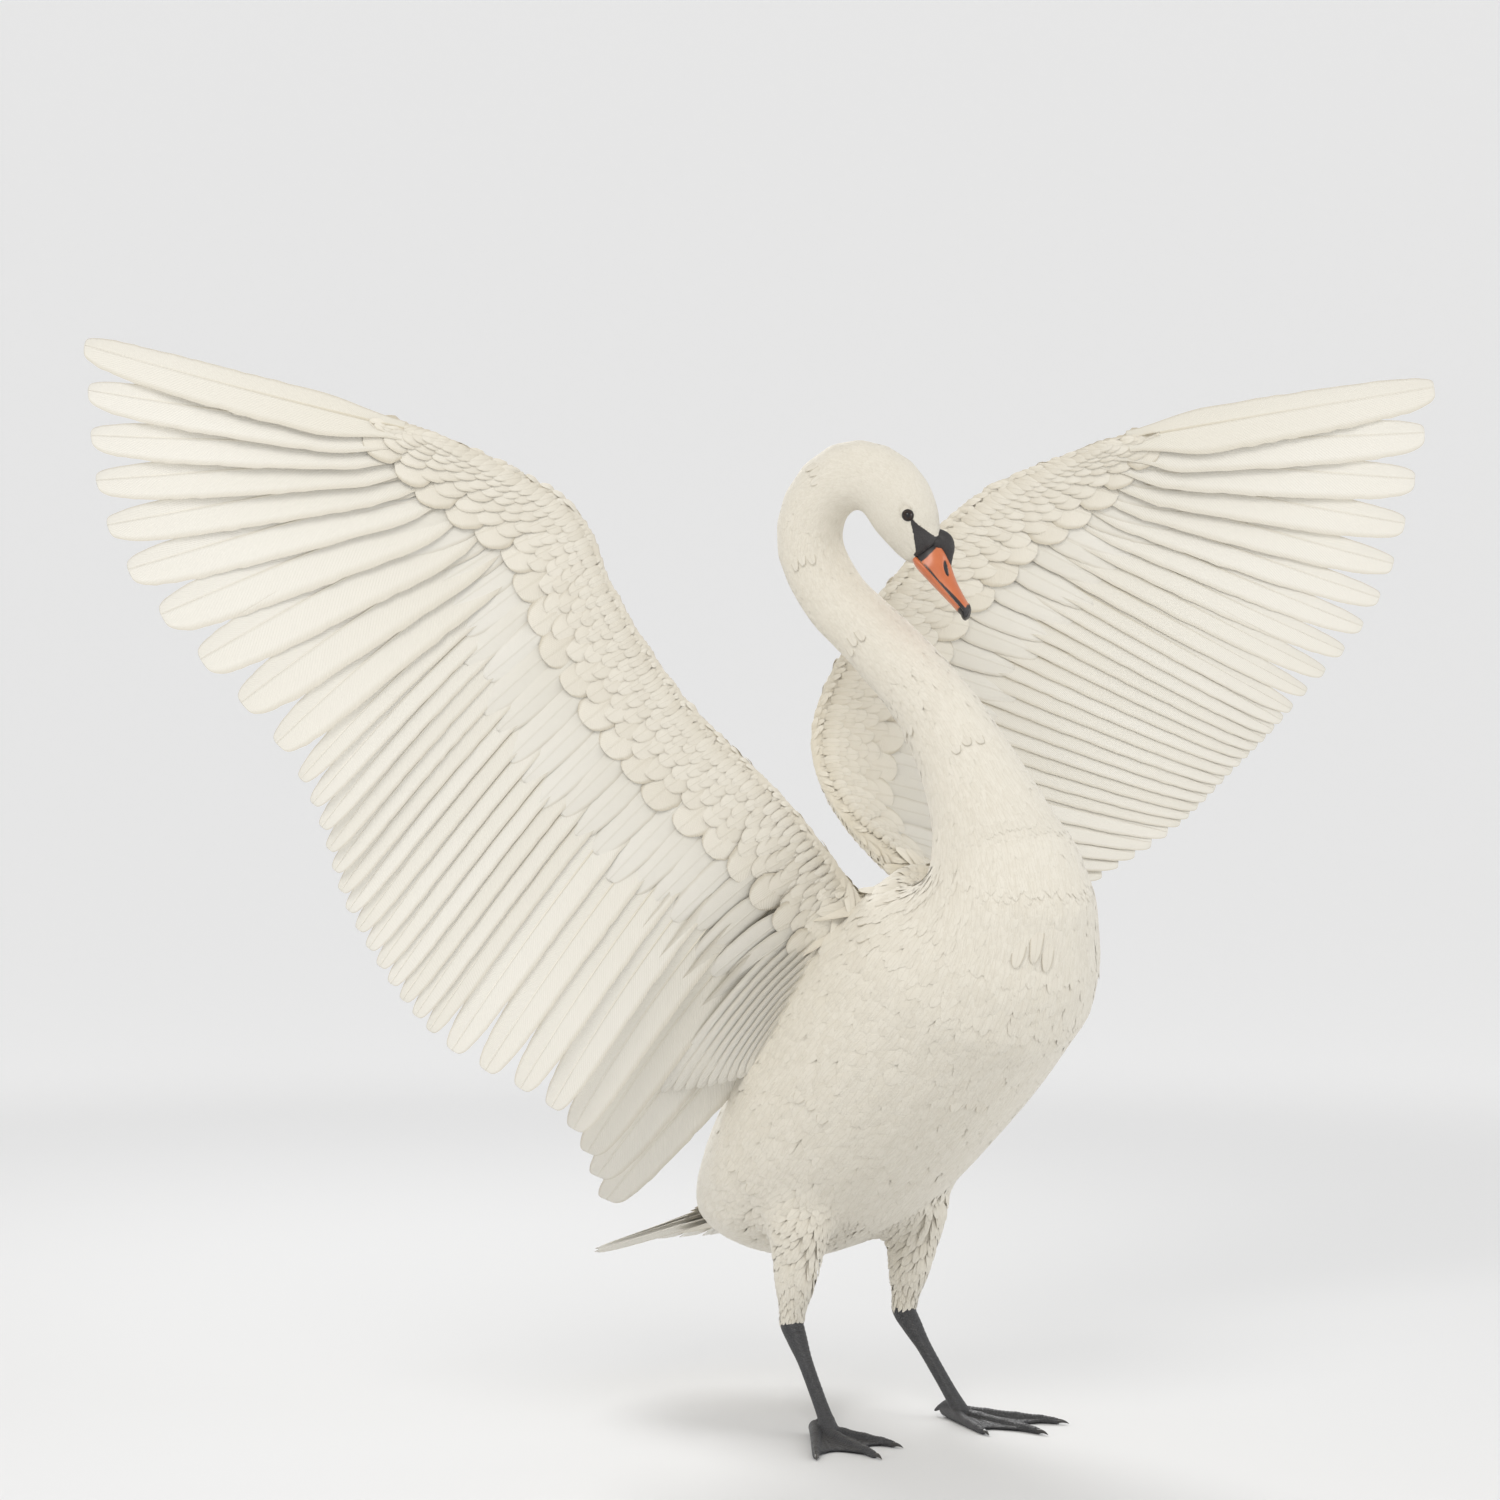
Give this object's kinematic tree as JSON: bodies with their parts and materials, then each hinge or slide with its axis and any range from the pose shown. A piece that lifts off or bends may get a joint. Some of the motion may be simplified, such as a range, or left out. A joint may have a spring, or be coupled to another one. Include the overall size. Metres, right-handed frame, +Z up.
{
  "type": "mute swan, adult male, still life-size model",
  "caption": "Life-size still mute swan standing on both webbed feet, wings raised and spread with the undersides forward, neck curved over and bill turned down.",
  "frame": {"origin": "on the floor, below the middle of the whole bird's box", "axes": "+Z up; the trunk faces -Y, the right wing is towards -X and the left wing towards +X"},
  "size_m": [1.664, 0.7966, 1.2403],
  "materials": {
    "plumage": "soft matt contour feathers, warm cream white",
    "flight_feathers": "satin vanes, paler than the body",
    "bill_orange": "smooth satin horn, orange",
    "black_skin": "finely grained matt black skin",
    "eye": "wet gloss, very dark brown",
    "leg_skin": "scaled satin skin, grey black",
    "claw": "smooth dark horn"
  },
  "bodies": {
    "root": {"bill_knob": "black_skin", "bill_lower": "bill_orange", "bill_upper": "bill_orange", "claw_left_1": "claw", "claw_left_2": "claw", "claw_left_3": "claw", "claw_right_1": "claw", "claw_right_2": "claw", "claw_right_3": "claw", "eye_left": "eye", "eye_right": "eye", "foot_left": "leg_skin", "foot_right": "leg_skin", "head": "plumage", "leg_left_tarsus": "leg_skin", "leg_left_thigh": "plumage", "leg_right_tarsus": "leg_skin", "leg_right_thigh": "plumage", "neck_lower": "plumage", "neck_middle": "plumage", "neck_upper": "plumage", "tail": "flight_feathers", "trunk": "plumage", "wing_left_forearm": "plumage", "wing_left_hand": "plumage", "wing_left_primaries": "flight_feathers", "wing_left_secondaries": "flight_feathers", "wing_left_tertials": "flight_feathers", "wing_left_upper_arm": "plumage", "wing_right_forearm": "plumage", "wing_right_hand": "plumage", "wing_right_primaries": "flight_feathers", "wing_right_secondaries": "flight_feathers", "wing_right_tertials": "flight_feathers", "wing_right_upper_arm": "plumage"}
  },
  "joints": []
}
